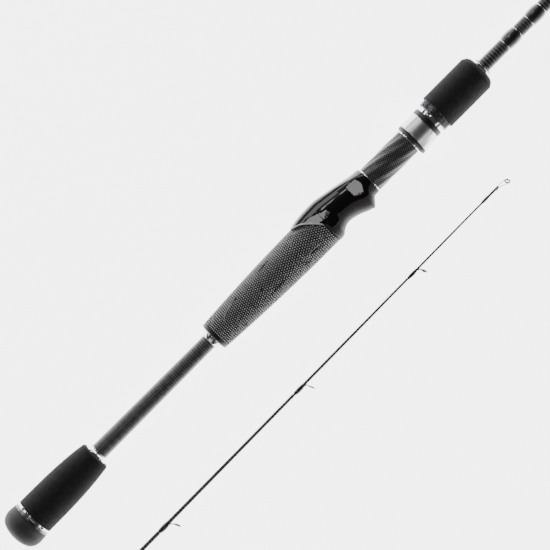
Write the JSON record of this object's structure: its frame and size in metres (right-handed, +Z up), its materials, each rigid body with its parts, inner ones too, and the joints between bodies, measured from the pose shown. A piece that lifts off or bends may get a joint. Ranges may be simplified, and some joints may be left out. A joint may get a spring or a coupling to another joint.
{
  "type": "spinning fishing rod",
  "caption": "Two-piece spinning rod laid down in sections: split foam handle, reel seat with a screw-down moving hood, tapered carbon blank, and ring guides on one side.",
  "frame": {"origin": "on the butt section's axis, at the very end of the butt cap", "axes": "+X along the butt section from the butt to the spigot, +Z up from the surface that both sections lie on, -Y the reel side, where the seat, the guides and the tip section are"},
  "size_m": [1.6654, 0.1049, 0.0278],
  "materials": {
    "cap_rubber": "matte moulded rubber",
    "dark_metal": "dark anodised, satin",
    "polished_metal": "polished",
    "eva_foam": "closed-cell foam, matte",
    "arbor": "light foam arbor",
    "blank_carbon": "carbon cloth under clear coat",
    "black_plastic": "black moulded plastic",
    "sleeve_texture": "dark sleeve with light raised dots",
    "seat_satin": "satin dark grey",
    "seat_gloss": "piano-black lacquer",
    "barrel_carbon": "woven carbon under clear coat",
    "brushed_metal": "turned and brushed",
    "wrap_epoxy": "thread under gloss epoxy",
    "trim_band": "metallic thread",
    "guide_metal": "black-chrome wire and sheet",
    "guide_ceramic": "polished dark ceramic"
  },
  "bodies": {
    "butt_section": {"butt_cap": "cap_rubber", "butt_cap_ring": "dark_metal", "butt_trim_ring": "polished_metal", "butt_grip": "eva_foam", "butt_winding_check": "polished_metal", "butt_blank": "blank_carbon", "rear_grip_check": "polished_metal", "rear_grip_end_cap": "black_plastic", "rear_grip_core": "eva_foam", "rear_grip_sleeve": "sleeve_texture", "reel_seat_core": "black_plastic", "reel_seat_body": "seat_satin", "reel_seat_shell": "seat_gloss", "seat_arbor_rear": "arbor", "seat_arbor_front": "arbor", "seat_rear_trim": "polished_metal", "seat_barrel": "barrel_carbon", "barrel_end_ring": "polished_metal", "seat_thread": "black_plastic", "hook_keeper": "polished_metal", "keeper_wrap_rear": "wrap_epoxy", "keeper_wrap_front": "wrap_epoxy", "keeper_trim_bands": "trim_band", "stripper_frame": "guide_metal", "stripper_ring": "guide_ceramic", "stripper_wraps": "wrap_epoxy", "stripper_trim_bands": "trim_band", "spigot_wrap": "wrap_epoxy", "spigot_trim_bands": "trim_band"},
    "moving_hood": {"hood_liner": "black_plastic", "hood_sleeve": "brushed_metal"},
    "nut_and_foregrip": {"nut_collar": "black_plastic", "nut_neck_ring": "polished_metal", "lock_nut": "dark_metal", "nut_insert": "black_plastic", "foregrip_trim_ring": "polished_metal", "foregrip": "eva_foam", "foregrip_check": "polished_metal", "foregrip_seal": "black_plastic"},
    "tip_section": {"tip_blank": "blank_carbon", "ferrule_wrap": "wrap_epoxy", "ferrule_trim_bands": "trim_band", "guide_frame_1": "guide_metal", "guide_frame_2": "guide_metal", "guide_frame_3": "guide_metal", "guide_frame_4": "guide_metal", "guide_frame_5": "guide_metal", "guide_frame_6": "guide_metal", "guide_ring_1": "guide_ceramic", "guide_ring_2": "guide_ceramic", "guide_ring_3": "guide_ceramic", "guide_ring_4": "guide_ceramic", "guide_ring_5": "guide_ceramic", "guide_ring_6": "guide_ceramic", "guide_wraps": "wrap_epoxy", "guide_trim_bands": "trim_band", "tip_top_frame": "guide_metal", "tip_top_ring": "guide_ceramic", "tip_top_wrap": "wrap_epoxy"}
  },
  "joints": [
    {"name": "nut_turn", "type": "hinge", "parent": "moving_hood", "child": "nut_and_foregrip", "pos_m": [0.37, 0, 0], "axis": [1, 0, 0], "range_deg": [0, 2880]},
    {"name": "hood_slide", "type": "slide", "parent": "butt_section", "child": "moving_hood", "axis": [1, 0, 0], "range_m": [0, 0.016]},
    {"name": "tip_section_lift", "type": "slide", "parent": "butt_section", "child": "tip_section", "axis": [0, 0, 1], "range_m": [0, 0.25]}
  ],
  "couplings": [
    {"joint": "nut_turn", "follows": "hood_slide", "rad_per_m": 3141.6}
  ]
}
